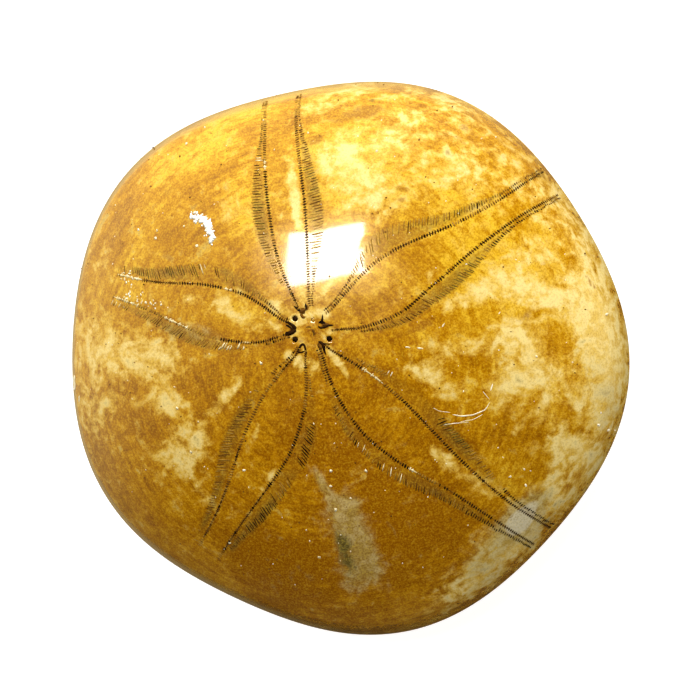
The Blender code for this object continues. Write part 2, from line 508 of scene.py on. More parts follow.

# %% [markdown]
# ## The stone
#
# The stone is calcite stained by iron: amber where it is stained, cream where it is not, grey where mud got
# in. The big clouds lie where they lie on this one fossil, so they are placed one by one as soft spots and
# painted on the mesh. Noise then frays their edges and adds the grain, which no list of spots could.
# Two sets of these spots also carry painted light and shade: they make the front and right lighter and the
# back darker, along with the stone's own tone there.

# %% Where the clouds lie
# x, y from the top's axis, half length, half width, heading in degrees, strength
PALE_SPOTS = (
    (13.8, -8.8, 2.2, 1.5, 20, 0.8), (11.6, -7.8, 1.3, 0.9, 0, 0.45), (15.4, -11.6, 2.6, 1.7, 130, 0.6),
    (23, -13.2, 3.4, 2.4, 20, 0.75), (27, -12.6, 2.8, 2.8, 0, 0.65), (24.4, -18.6, 3.4, 0.6, 35, 0.6),
    (27.6, -16.6, 2.2, 1, 50, 0.5), (28.3, -22.6, 2.2, 2.6, 100, 0.9), (31, -25, 1.6, 3.2, 30, 0.6),
    (34.4, -19.5, 2.4, 5, 15, 0.7), (36, -10.5, 2.2, 6, 0, 0.7), (31.2, -17, 0.5, 3, 12, 0.7),
    (35, -4, 2.8, 3.4, 0, 0.65), (25.6, -6.8, 2.2, 2.8, 100, 0.85), (27.5, -9.5, 1.2, 2.2, 0, 0.5),
    (20.4, -7.6, 1.9, 1.1, 0, 0.75), (17, -6.6, 1.4, 1, 0, 0.6), (15, -5.6, 1.4, 0.6, 0, 0.3),
    (22.4, -0.6, 3.4, 1.1, 25, 0.8), (26.5, -0.6, 3.4, 1.8, -20, 0.65), (31, -3.2, 3, 1.6, -40, 0.6),
    (18.2, -1.4, 2.2, 0.7, 30, 0.45), (30.5, 3, 4, 2.4, 0, 0.42), (34, 9, 2.6, 4, 0, 0.45),
    (13, -20.6, 2.6, 1, -58, 0.75), (11, -24, 1.6, 0.8, -50, 0.6), (17, -25.6, 5, 1.5, -50, 0.55),
    (15, -36.6, 5.6, 2.8, 38, 0.8), (9.4, -39.4, 4.4, 2, 20, 0.6), (19.8, -34, 3.2, 2.2, 45, 0.8),
    (25.4, -30.4, 4, 2.4, 40, 0.6), (26, -26.8, 3, 1.4, 40, 0.5), (31, -26.6, 3.4, 2.6, 60, 0.5),
    (-21.6, 0.6, 3.4, 3, 0, 0.62), (-21.9, -5.6, 2.4, 2.2, 0, 0.5), (-13.6, -6.2, 3, 1, 22, 0.85),
    (-19.2, -11, 2.2, 1.8, 0, 0.5), (-23.2, -13, 4.2, 2.4, 0, 0.45), (-20.6, -17.5, 1.4, 4, 15, 0.4),
    (-27.5, 3, 4, 3, 0, 0.5), (-32, 5, 3, 5, 0, 0.5), (-33, -3, 3, 4, 0, 0.35),
    (-10.6, -12, 1.8, 0.4, 62, 0.8), (-10.2, -18.3, 1.4, 0.6, 45, 0.7), (-12.5, -20.5, 2.6, 0.5, 52, 0.4),
    (-2.2, -4.1, 0.95, 1.1, 0, 1.1), (2.3, -4.2, 1.6, 0.62, -68, 1.1), (3.2, -6.6, 1.3, 0.55, -70, 1),
    (-0.3, -5, 0.7, 2.1, 0, 0.65), (-3.6, -2.6, 0.9, 1, 0, 0.8), (-11, 6.4, 1.3, 0.9, 0, 1),
    (-15.6, 7.6, 1.1, 0.8, 0, 0.9), (-8, 2.2, 2.8, 0.6, 145, 0.4), (-3.4, 3.4, 1.6, 0.9, 120, 0.8),
    (1.6, 5.4, 1, 2.4, -12, 0.6), (3.8, 5, 1, 2.2, -35, 0.5), (-5.2, 1.7, 2, 0.9, 160, 0.6),
    (-10, 4.4, 3.6, 1.3, 155, 0.35), (-8, 7, 2.4, 0.5, 145, 0.45), (2.6, 1.4, 0.8, 0.5, 60, 0.7),
    (1.6, 19.5, 0.8, 2.8, 0, 1.2), (1.4, 15.6, 0.7, 2.6, 0, 1), (-0.2, 4.6, 0.7, 1.6, 0, 0.8),
    (-0.8, 13, 0.5, 3, 0, 0.4), (8.5, 20.5, 3.6, 4, 0, 0.75), (12.5, 15, 4, 4, 0, 0.6),
    (7, 29.5, 3.4, 1.4, 0, 0.6), (16.5, 23, 3, 2.6, 0, 0.55), (22, 16.5, 4, 2.2, -20, 0.45),
    (11, 31.5, 4, 1.4, -10, 0.5), (38, 2, 2.6, 14, 0, 0.75), (37, -13, 2.6, 7, 10, 0.7),
    (-37, 0, 3.6, 15, 0, 0.35), (-31, 18, 3, 6, 40, 0.3), (-14, 33, 9, 2.4, 15, 0.35),
    (24, 27, 3, 7, 45, 0.4), (24.4, 10.6, 1.5, 0.5, 15, 0.5), (17, 3.2, 1.2, 0.4, 60, 0.4),
    (-7.2, 18, 1.6, 1.8, 0, 0.4), (-1, 1.4, 1.3, 0.6, 30, 0.7), (1.6, 1.6, 1, 0.6, -40, 0.7),
    (2.4, -0.9, 1, 0.6, 20, 0.7), (-0.6, 1, 0.6, 0.5, 0, 0.4), (2.8, -21, 3, 1.2, -55, 0.3),
    (5, -26, 6, 1, 20, 0.18), (-6, -36, 3, 1.2, 0, 0.2), (-22, -8, 6, 9, 0, 0.24), (-27, -2, 6, 8, 0, 0.18),
    (30, -8, 7, 12, 0, 0.12), (20, 26, 10, 6, -30, 0.24), (29, 15, 8, 6, 0, 0.3),
)
GREY_SPOTS = (
    (-3.6, -20.6, 0.8, 2.2, 15, 0.9), (-1.4, -24.4, 2.3, 2, 0, 1), (-1.6, -28.4, 2.4, 3.2, 12, 1),
    (-0.9, -32.8, 2.2, 3.2, 14, 0.9), (-3.6, -34.6, 1.6, 2.2, 0, 0.6), (20.5, -31.8, 2.8, 1.8, 35, 2.2),
    (23.4, -29.6, 1.8, 1.3, 30, 0.8), (-16, 3, 4.6, 1.3, 160, 0.6), (14.6, -36.2, 6.5, 3, 38, 0.55),
    (31.5, -25.5, 4, 3, 50, 0.2), (35, -17, 2.4, 7, 12, 0.35),
)
SHADOW_SPOTS = (
    (-3.1, -29.6, 1, 2.6, 8, 1.15), (-3.4, -32.4, 1, 1.6, 10, 0.8), (-1.6, -30.5, 0.8, 1.2, 0, 0.4),
    (24, -32, 2, 0.7, 40, 0.5), (13.8, 28.4, 0.34, 0.30, 0, 2), (15.4, 15.4, 0.42, 0.26, 20, 1.8),
)
RUST_SPOTS = (
    (5.7, 25, 1.6, 0.9, 10, 1), (9.8, 27, 2.8, 1.1, 5, 0.8), (13.4, 27.2, 1.8, 1.1, 0, 0.9),
    (15.8, 15.4, 1, 0.45, -25, 1.3), (15.4, 14, 0.7, 0.5, 0, 0.9), (21.2, 20.6, 1, 0.4, -20, 0.9),
    (25.4, 22, 1.2, 0.6, -30, 0.6), (24.4, 20.2, 0.8, 1.4, 0, 0.5), (28.6, 19.4, 1.6, 0.6, -40, 0.6),
    (-17.5, 16.4, 1.3, 3.4, 0, 0.75), (-15, 15.4, 0.7, 2.6, 0, 0.5), (-16.5, 22.6, 3.2, 1.2, 20, 0.6),
    (-20.5, 19.6, 0.8, 2.8, 20, 0.5), (12.4, -3.4, 3.8, 0.7, 12, 0.9), (15.6, -2.6, 1.4, 0.45, 20, 1),
    (20.4, -4.6, 4.4, 0.9, 5, 0.6), (28, -4.8, 1.6, 1, 30, 0.7), (5.4, 14.4, 1.8, 1.2, 20, 0.4),
    (-9.5, 9, 2, 2.6, 0, 0.35), (37, -2.6, 2.2, 0.22, -68, 1), (5, 21, 1, 2.2, 10, 0.5),
    (0.4, -1, 1, 0.8, 0, 0.5), (-12, 20.5, 1.6, 1, 20, 0.5), (-0.1, -0.2, 0.6, 0.5, 0, 0.9),
    (-1.6, -1.3, 1, 0.5, 0, 0.3), (0.1, -2.4, 0.6, 1.2, 0, 0.5), (31.5, 1, 1.6, 1, 40, 0.5),
    (19, -9.6, 3, 0.8, -10, 0.35), (-17.6, -28.5, 3, 1, -45, 0.5), (22, -21.5, 2.2, 1.6, 40, 0.4),
    (-6, -8, 1.4, 3.4, -14, 0.3), (6.5, -13, 3, 1.4, -50, 0.25),
)
# Painted shade, along with the stone's own deeper amber: these spots darken the colour, most of all over the
# back, away from the light.
PAINTED_SHADE_AND_TONE_SPOTS = (
    (2, -16, 9, 5, -20, 0.75), (-2, -31, 14, 8, 0, 1), (10, -26, 6, 5, 0, 0.5),
    (6.5, -8.5, 4.5, 2.4, -40, 0.7), (-5.5, -11.5, 4, 2.4, 60, 0.8), (-14, -31, 6, 4, -30, 0.85),
    (20, -19, 4.5, 3, 30, 0.45), (23, -9.5, 4, 1.6, 0, 0.6), (13, -14, 3, 4, 30, 0.4),
    (31, -10, 2.4, 2.4, 0, 0.6), (-14, 15.5, 5, 5, 0, 0.15), (-25.5, -8, 3.4, 3.8, 0, 0.7),
)
# Painted light, along with the stone's own lighter tone: these spots lighten the colour where the light falls
# most, at the front and the right.
PAINTED_LIGHT_AND_TONE_SPOTS = (
    (9, 21, 8, 8, 0, 0.9), (20, 14, 9, 5, -20, 0.7), (-6, 17, 3, 5, 0, 0.7), (30, 0, 6, 8, 0, 0.6),
    (-12, 27, 9, 4, 20, 0.9), (-26, 10, 8, 6, 0, 0.55), (33, -16, 4, 8, 10, 0.6), (-24, -6, 7, 7, 0, 0.25),
    (22, -14, 8, 5, 0, 0.35), (-8, 4, 4, 2, -30, 0.5), (6, 34, 14, 3, 0, 0.8), (23, 7, 8, 7, 0, 0.55),
    (22, -4, 9, 8, 0, 0.4), (-16, 16, 7, 7, 0, 0.15), (9, 5, 6, 4, 20, 0.3), (18, -25, 5, 4, 0, 0.4),
    (28, -26, 5, 5, 0, 0.3),
)


def soft_spots(x, y, spots):
    """The sum of soft ellipses: each is its strength at its middle and falls off as a bell curve."""
    place_x, place_y, long_half, short_half, degrees, strength = np.array(spots, float).T
    lean = np.radians(degrees)
    away_x, away_y = x[..., None] - place_x, y[..., None] - place_y
    along = away_x * np.cos(lean) + away_y * np.sin(lean)
    aside = away_y * np.cos(lean) - away_x * np.sin(lean)
    return (strength * bell(along, long_half) * bell(aside, short_half)).sum(-1)


CLOUDS = {"pale": PALE_SPOTS, "grey": GREY_SPOTS, "shadow": SHADOW_SPOTS, "rust": RUST_SPOTS,
          "deep": PAINTED_SHADE_AND_TONE_SPOTS, "fresh": PAINTED_LIGHT_AND_TONE_SPOTS}
print(sum(len(spots) for spots in CLOUDS.values()), "soft spots are placed by hand")

# %% The stone's own finish
AMBER_DEEP, AMBER, AMBER_LIGHT = rgb(0.31, 0.115, 0.000), rgb(0.48, 0.215, 0.001), rgb(0.72, 0.43, 0.020)
TAN, CREAM = rgb(0.70, 0.45, 0.065), rgb(0.84, 0.665, 0.265)
GREY_STONE, GREY_LIGHT, MUD = rgb(0.36, 0.25, 0.065), rgb(0.54, 0.43, 0.19), rgb(0.09, 0.07, 0.012)
RUST, STAIN, MILKY = rgb(0.30, 0.105, 0.001), rgb(0.20, 0.105, 0.012), rgb(0.66, 0.61, 0.44)
DARK_GRAIN, HONEY_GRAIN = rgb(0.66, 0.53, 0.26), rgb(0.90, 0.62, 0.03)


def arcs(stone, spacing, shortness):
    """Noise drawn out along rings round the upright axis, like the marks of polishing.

    The noise is read at (direction from the axis * shortness, distance / spacing), so it changes slowly along
    a ring and quickly from ring to ring.
    """
    flat = stone.vector("MULTIPLY", stone.place, (1, 1, 0))
    along = stone.vector("SCALE", stone.vector("NORMALIZE", flat), shortness)
    out = stone.node("ShaderNodeCombineXYZ", None, {"Z": stone.vector("LENGTH", flat) / spacing})
    return stone.noise(1.0, 3.0, stone.vector("ADD", along, out))


def stone_finish():
    stone = Finish("polished_calcite")
    # The larger noises are read at places that drift, which bends the outlines of their blotches.
    slow = {"Vector": stone.place, "Scale": 0.16, "Detail": 2.0}
    drift = stone.vector("SCALE", stone.node("ShaderNodeTexNoise", None, slow, "Color"), 6.0)
    drifted = stone.vector("ADD", stone.place, drift)
    broad = stone.noise(13.0, 3.0, drifted)
    cloud = stone.noise(3.8, 5.0, drifted, 0.55)
    mottle = stone.noise(1.05, 3.0, None, 0.65)
    lobes = stone.noise(1.9, 4.0, drifted, 0.5)
    grain = stone.noise(0.27, 2.0, None, 0.7)
    streak = arcs(stone, 0.55, 5.0)

    # The first paint read here is painted light and the second painted shade, each partly the stone's own
    # tone; together they shift the lightness and the paleness below.
    fresh, deep = stone.painted("fresh"), stone.painted("deep")
    fray = (0.8 * (cloud - 0.5) + 1.5 * (lobes - 0.5) + 0.9 * (mottle - 0.5)) * (1.08 - 0.42 * fresh)
    tone_and_painted_light = 0.6 * (broad - 0.5) + 0.8 * (cloud - 0.5) + 0.9 * (mottle - 0.5) + 0.9 * (streak - 0.5)
    tone_and_painted_light = tone_and_painted_light + 0.46 * fresh - 0.36 * deep
    pale = stone.painted("pale") + fray + 0.22 * fresh - 0.3 * deep
    marbling = stone.ramp(lobes + 0.8 * mottle, 0.72, 1.05, 0.25, 0.95)
    grey = stone.painted("grey")
    greys = stone.mix(stone.ramp(lobes + 0.6 * mottle, 0.68, 0.98), GREY_STONE, GREY_LIGHT)
    # Each layer covers the ones before it by its share.
    layers = (
        (stone.ramp(tone_and_painted_light, -0.28, 0.12), AMBER),
        (stone.ramp(tone_and_painted_light, 0.04, 0.50), AMBER_LIGHT),
        (stone.ramp(pale, 0.16, 0.68) * 0.80, TAN),
        (stone.ramp(pale + 0.3 * (streak - 0.5), 0.45, 1.0) * marbling, CREAM),
        (stone.ramp(grey + 0.5 * fray, 0.08, 0.80) * 0.8, greys),
        (stone.ramp(grey, 1.15, 1.5) * 0.8, MILKY),
        (stone.ramp(stone.painted("shadow") + 1.1 * fray, 0.25, 1.3) * 0.9, MUD),
        (stone.ramp(stone.painted("rust") + 0.8 * fray, 0.35, 0.95) * 0.75, RUST),
        (stone.painted("stain") * stone.ramp(mottle, 0.3, 0.7, 0.7, 1.05), STAIN),
    )
    colour = AMBER_DEEP
    for share, tint in layers:
        colour = stone.mix(share, colour, tint)
    # Dark grains multiply the colour, less so where it is pale, and honey grains lighten it.
    darkening = stone.ramp(grain, 0.46, 0.66) * stone.ramp(pale, 0.2, 0.9, 0.8, 0.45)
    colour = stone.mix(darkening, colour, DARK_GRAIN, "MULTIPLY")
    colour = stone.mix(stone.ramp(grain, 0.50, 0.30) * 0.22, colour, HONEY_GRAIN)

    roughness = stone.ramp(cloud, 0.35, 0.65, 0.18, 0.26)
    stone.surface(Base_Color=colour, Roughness=roughness, Normal=stone.bump(grain + mottle, 0.02, 0.35))
    stone.surface(IOR=1.5, Specular_IOR_Level=0.85, Specular_Tint=rgb(1.0, 0.76, 0.34))
    stone.surface(Coat_Weight=1.0, Coat_Roughness=0.06)
    return stone.material


STONE = stone_finish()
print("stone finish:", len(STONE.node_tree.nodes), "nodes")

# %% [markdown]
# ## The shell's mesh
#
# The grid has rings and columns. Even columns would waste points between the petals, so the columns crowd
# where the rows run: their spacing follows the running sum of a density that is higher near each petal's
# heading.

# %% Rings and columns
COLUMNS = 440


def crowded_columns():
    """Turns of the columns: an even walk up the running sum of the density, read back as angles."""
    turn = np.linspace(0, FULL, 3600)
    density = np.ones_like(turn)
    for petal in PETALS.values():
        middle = math.radians(petal["heading"][2])
        density += 2.4 * bell(np.mod(turn - middle + math.pi, FULL) - math.pi, math.radians(11))
    total = np.cumsum(density)
    return np.interp(np.linspace(total[0], total[-1], COLUMNS, endpoint=False), total, turn)


def ring_stations():
    """Stations of the rings: close together over the top plate, even down the dome, then round and under."""
    over_plate = np.arange(1, 34) * 0.12
    down_dome = np.linspace(over_plate[-1] + 0.3, 37.0, 112)
    upper = np.append(station_over(np.append(over_plate, down_dome), 0.0)[0], np.linspace(0.985, 1.0, 3))
    lower = 1 + np.linspace(0, 1, 18)[1:]
    rim = 2 + np.linspace(0, 1, 8)[1:]
    hollow = 3 + np.linspace(0, 0.995, 42)[1:]
    return np.concatenate([upper, lower, rim, hollow])


def shell_faces(rings, columns):
    """Quads between neighbouring rings, and a fan of triangles to the pole at either end."""
    here = np.arange(columns)
    beyond = np.roll(here, -1)
    start = columns * np.arange(rings - 1)[:, None]
    quads = np.stack([start + here, start + columns + here, start + columns + beyond, start + beyond], -1)
    top, bottom, last = rings * columns, rings * columns + 1, (rings - 1) * columns
    top_fan = np.stack([np.full(columns, top), here, beyond], -1)
    bottom_fan = np.stack([np.full(columns, bottom), last + beyond, last + here], -1)
    return [quads.reshape(-1, 4), top_fan, bottom_fan]


STATIONS, TURNS = ring_stations(), crowded_columns()
station, turn = (part.ravel() for part in np.meshgrid(STATIONS, TURNS, indexing="ij"))
points = np.concatenate([on_shell(station, turn), on_shell(np.array([0.0, UNDER]), np.zeros(2))])
shell = make_piece("polished_shell", points, shell_faces(len(STATIONS), COLUMNS), STONE)

# %% Paint the clouds on the shell
PLATE_PALE, UNDER_PALE = 0.22, 0.34
PIT_SHADOW, PIT_HALF = 1.1, 0.8
MOST_PAINT = 1.5


def paint(piece, name, values):
    """Stores a number at each point of a piece, for its material to read."""
    layer = piece.data.attributes.new(name, "FLOAT", "POINT")
    layer.data.foreach_set("value", np.clip(values, 0, MOST_PAINT).astype(np.float32))


plan_x, plan_y = points[:, 0] - TOP_X, points[:, 1] - TOP_Y
upper_side = np.append(1 - ease(station, 1.1, 1.8), (1.0, 0.0))
under_side = 1 - upper_side
plate = PLATE_PALE * (1 - ease(np.hypot(plan_x, plan_y), DISC_RADIUS - 0.6, DISC_RADIUS + 0.5))
pits = sum(bell(oval_gap(plan_x, plan_y, pit), PIT_HALF) for pit in (MOUTH, VENT))
EXTRA = {"pale": plate * upper_side + UNDER_PALE * under_side, "shadow": PIT_SHADOW * pits * under_side}
for name, spots in CLOUDS.items():
    paint(shell, name, soft_spots(plan_x, plan_y, spots) * upper_side + EXTRA.get(name, 0))
print("painted", len(points), "points")

# %% [markdown]
# ## How each row looks
#
# A pore is a tiny hole that stone has filled. Some fillings are black, some brown, some white, and some
# are worn away. Random choice alone would give even rows, but on the fossil the looks come in stretches,
# so each row lists its stretches outwards from the top, each as a look and the distance where it ends, and
# chance only decides among neighbouring looks inside.

# %% The stretches of the inner rows
def stretches_of(table):
    """Reads "look end, look end" as pairs of (end, look), for each row."""
    split = {key: [part.split() for part in text.split(",")] for key, text in table.items()}
    return {key: [(float(end), look) for look, end in parts] for key, parts in split.items()}


INNER_LOOKS = stretches_of({
    ("front", COUNTER): "line 5.8, black 7.6, brown 10.6, black 12.2, brown 13.6, black 22.4, white 24, "
                        "brown 28, faint 33",
    ("front", CLOCKWISE): "brown 6, brown 9, black 14, black 21, brown 24.5, brown 29, faint 33",
    ("front_right", COUNTER): "brown 15, black 23, brown 30, black 37",
    ("front_right", CLOCKWISE): "line 6.8, brown 12, black 35, brown 37",
    ("back_right", COUNTER): "line 6.2, black 8.8, white 12.2, brown 15.5, black 18.5, line 21, black 28, "
                             "brown 29.6, line 33, black 42",
    ("back_right", CLOCKWISE): "black 22.6, white 24.2, faint 27, black 42",
    ("back_left", COUNTER): "line 5.6, brown 11, black 20.5, line 34, faint 36",
    ("back_left", CLOCKWISE): "line 7, faint 11, brown 18.6, line 21.5, faint 24.5, line 33.5, faint 36",
    ("front_left", COUNTER): "black 5.6, black 8.4, white 9.6, black 12.6, faint 17, white 21, faint 25, "
                             "white 30",
    ("front_left", CLOCKWISE): "black 8, black 12, white 13.2, black 19.5, line 25, white 30",
})
print(sum(len(stretches) for stretches in INNER_LOOKS.values()), "inner stretches")

# %% The stretches of the outer rows
OUTER_LOOKS = stretches_of({
    ("front", COUNTER): "gone 7, faint 11, brown 14.5, olive 20, brown 23.5, white 24.5, olive 29, "
                        "faint 33",
    ("front", CLOCKWISE): "brown 8, faint 14, brown 18, olive 21.5, brown 28, faint 33",
    ("front_right", COUNTER): "brown 8, faint 24, olive 31, brown 37",
    ("front_right", CLOCKWISE): "gone 6.8, brown 10.5, brown 17, olive 24.5, faint 26, black 35, brown 37",
    ("back_right", COUNTER): "gone 7, faint 12, gone 20.5, black 21.4, olive 26, faint 31.5, gone 33, "
                             "black 42",
    ("back_right", CLOCKWISE): "brown 7.6, gone 10.5, brown 13, faint 15.5, black 16, white 19.4, "
                               "black 20, white 22.6, brown 25, brown 28.4, olive 31, black 42",
    ("back_left", COUNTER): "gone 6, faint 9, gone 12.2, black 18, gone 19.8, black 20.3, faint 23, "
                            "black 29, brown 33, gone 36",
    ("back_left", CLOCKWISE): "line 8, gone 12.5, brown 17.5, faint 20, brown 23, faint 28, brown 30, "
                              "gone 36",
    ("front_left", COUNTER): "brown 6.5, gone 8.5, white 12.5, brown 13.2, faint 17.5, black 18.2, "
                             "faint 23, faint 27, white 30",
    ("front_left", CLOCKWISE): "brown 7.5, faint 10.8, black 11.2, faint 15, white 16.5, olive 23, "
                               "olive 27, white 30",
})
print(sum(len(stretches) for stretches in OUTER_LOOKS.values()), "outer stretches")

# %% Where chance comes in
# Chance only swaps a look for one that is near it.
SWAPS = {
    "black": (("black", 0.88), ("brown", 0.09), ("gone", 0.03)),
    "olive": (("olive", 0.60), ("brown", 0.16), ("black", 0.06), ("faint", 0.18)),
    "brown": (("brown", 0.74), ("black", 0.10), ("faint", 0.16)),
    "faint": (("faint", 0.66), ("brown", 0.12), ("gone", 0.22)),
    "white": (("white", 0.40), ("faint", 0.35), ("gone", 0.25)),
    "line": (("brown", 0.55), ("black", 0.15), ("faint", 0.30)),
    "gone": (("gone", 0.93), ("faint", 0.07)),
}
LOOKS = ("black", "brown", "faint", "white", "olive", "gone")


def drawn_looks(stretches, distance, chance):
    """One look for each pore: its stretch's look, or by chance a neighbouring one."""
    stretch = np.searchsorted([end for end, _ in stretches], distance)
    stretch = np.clip(stretch, 0, len(stretches) - 1)
    drawn = np.empty(len(distance), int)
    for index, (_, look) in enumerate(stretches):
        names, shares = zip(*SWAPS[look])
        here = stretch == index
        drawn[here] = chance.choice([LOOKS.index(name) for name in names], size=here.sum(), p=shares)
    return drawn


print("looks:", ", ".join(LOOKS))

# %% Stain the shell where the pores run
STAIN_OF_LOOK = {"black": 0.5, "olive": 0.6, "brown": 0.55, "faint": 0.42, "white": 0.15, "line": 0.3,
                 "gone": 0.15}
LINE_STAIN, LEAF_STAIN = 0.45, 0.65


def row_stain(petal, side, x, y):
    """Stain beside a row: a thin line under the inner row, and a soft band over the outer one."""
    across, distance = beside(petal, x, y)
    beyond = side * across - half_width(petal, distance)
    zone = zone_width(petal, side, distance)
    strengths = np.array([STAIN_OF_LOOK[look] for _, look in OUTER_LOOKS[petal, side]])
    ends = np.array([end for end, _ in OUTER_LOOKS[petal, side]])
    strength = np.interp(distance, ends - np.diff(ends, prepend=2.5) / 2, strengths)
    band = strength * ease(beyond, 0.1, 0.7) * (1 - ease(beyond, zone - 0.35, zone + 0.25))
    line = LINE_STAIN * bell(beyond, 0.16)
    inside = ease(distance, 2.6, 3.4) * (1 - ease(distance, PETALS[petal]["end"] - 2, PETALS[petal]["end"]))
    return np.maximum(band, line) * inside


def beside_row(petal, side, distance, beyond):
    """Plan place of a spot `beyond` millimetres outside an inner row, and the row's direction there."""
    reaches = distance + np.array([-0.1, 0.0, 0.1])
    turns = row_turn(petal, side, reaches)
    x, y = reaches * np.cos(turns), reaches * np.sin(turns)
    lean = math.atan2(y[2] - y[0], x[2] - x[0])
    return x[1] - side * beyond * math.sin(lean), y[1] + side * beyond * math.cos(lean), lean


# petal, side, distance from the top, distance beyond the row, half length along the row, half width, strength
PATCHES = (
    ("back_left", COUNTER, 24.0, 1.7, 1.3, 0.55, 0.8), ("back_left", COUNTER, 26.2, 1.6, 1.0, 0.6, 1.0),
    ("back_left", COUNTER, 28.4, 1.5, 1.0, 0.5, 1.0), ("back_left", COUNTER, 30.2, 1.2, 0.7, 0.4, 0.9),
    ("back_left", COUNTER, 31.9, 0.9, 1.1, 0.4, 1.2), ("back_left", CLOCKWISE, 16.0, 1.7, 3.0, 0.7, 0.6),
    ("back_left", CLOCKWISE, 20.5, 1.6, 0.6, 0.3, 0.7), ("back_left", CLOCKWISE, 25.5, 1.1, 1.4, 0.45, 0.7),
    ("back_left", CLOCKWISE, 30.8, 0.9, 1.3, 0.35, 1.1), ("front_left", COUNTER, 19.0, 1.2, 4.5, 0.8, 0.5),
    ("front_left", CLOCKWISE, 13.5, 2.2, 0.8, 0.4, 0.6), ("front_left", CLOCKWISE, 21.0, 1.3, 1.4, 0.4, 0.5),
    ("front_right", CLOCKWISE, 19.0, 1.5, 3.2, 0.8, 0.35), ("back_right", COUNTER, 25.0, 1.4, 2.5, 0.7, 0.5),
    ("back_right", CLOCKWISE, 14.0, 1.5, 0.5, 0.4, 0.7), ("back_right", CLOCKWISE, 27.0, 1.2, 0.8, 0.3, 0.7),
    ("front", CLOCKWISE, 17.0, 1.5, 4.0, 0.7, 0.3), ("front", COUNTER, 15.0, 1.3, 3.0, 0.6, 0.4),
)
stain = np.zeros(len(points))
for petal, side in INNER_LOOKS:
    stain = np.maximum(stain, row_stain(petal, side, plan_x, plan_y))
for petal, side, distance, beyond, half_long, half_wide, strength in PATCHES:
    x, y, lean = beside_row(petal, side, distance, beyond)
    patch = soft_spots(plan_x, plan_y, ((x, y, half_long, half_wide, math.degrees(lean), strength),))
    stain = stain + patch * (1 - 0.6 * stain)
# Underneath, the stain follows the leaves instead.
leaves = LEAF_STAIN * np.max([leaf_bands(petal, plan_x, plan_y, 0.5, 1.5) for petal in PETALS], axis=0)
paint(shell, "stain", np.minimum(stain, 1.0) * upper_side + leaves * under_side)
print("stained share of the points:", round(float((stain > 0.1).mean()), 3))

# %% [markdown]
# ## Pores
#
# There are about two thousand pores. Each could be a cut, but a Boolean that size is slow and the holes
# are full anyway. So each pore is a thin plug of stone let into the surface: a ring of eight points just
# proud of it, a centre point above and a point below. All plugs of one colour are one mesh, worked out
# together.

# %% Plugs let into the surface
RING = 8
PROUD, SUNK = 0.014, 0.12


def plugs(x, y, half_long, half_wide, lean, shape=None, under=False):
    """Points and faces of plugs at plan points, over the dome or in the hollow underneath.

    A plug's rim is an ellipse turned by `lean`: centre + long half * cos + wide half * sin. Its two poles lie
    over and under the centre. `shape` scales the rim point by point, which makes it ragged.
    """
    count = len(x)
    phase = np.arange(RING) * FULL / RING
    rim = np.ones((count, RING)) if shape is None else shape
    along = half_long[:, None] * np.cos(phase) * rim
    aside = half_wide[:, None] * np.sin(phase) * rim
    rim_x = x[:, None] + along * np.cos(lean)[:, None] - aside * np.sin(lean)[:, None]
    rim_y = y[:, None] + along * np.sin(lean)[:, None] + aside * np.cos(lean)[:, None]
    all_x = np.concatenate([rim_x, x[:, None], x[:, None]], 1)
    all_y = np.concatenate([rim_y, y[:, None], y[:, None]], 1)
    lift = np.array([PROUD] * RING + [PROUD * 1.4, -SUNK])
    spots = on_shell(*(station_under if under else station_over)(all_x, all_y), lift)
    corner = np.arange(RING)
    after = np.roll(corner, -1)
    upper = np.stack([np.full(RING, RING), corner, after], -1)
    lower = np.stack([np.full(RING, RING + 1), after, corner], -1)
    faces = np.concatenate([upper, lower])[None] + ((RING + 2) * np.arange(count))[:, None, None]
    # Seen in plan, the underside runs the other way round.
    faces = faces[..., ::-1] if under else faces
    return spots.reshape(-1, 3), [faces.reshape(-1, 3)]


# Pores lie this far apart near the top and further out.
STEP_AT, PORE_STEP = (3.0, 14.0), (0.31, 0.385)


def spaced_along(petal, side, end):
    """Where a row's pores lie, an even walk apart: distance from the top, x, y, heading, foreshortening."""
    distance = np.linspace(2.9, end, 4000)
    turn = row_turn(petal, side, distance)
    x, y = distance * np.cos(turn), distance * np.sin(turn)
    steps = np.diff(smooth_shell(*station_over(x, y)), axis=0)
    walked = np.append(0, np.cumsum(np.linalg.norm(steps, axis=1)))
    counted = np.append(0, np.cumsum(np.diff(walked) / np.interp(distance[1:], STEP_AT, PORE_STEP)))
    stops = np.arange(int(counted[-1])) + 0.5
    flat = np.append(0, np.cumsum(np.hypot(np.diff(x), np.diff(y))))
    foreshortening = np.gradient(flat, walked)
    lean = np.unwrap(np.arctan2(np.gradient(y), np.gradient(x)))
    return [np.interp(stops, counted, value) for value in (distance, x, y, lean, foreshortening)]


rows = {key: spaced_along(*key, PETALS[key[0]]["end"]) for key in INNER_LOOKS}
print("pores in the longest row:", max(len(row[0]) for row in rows.values()))

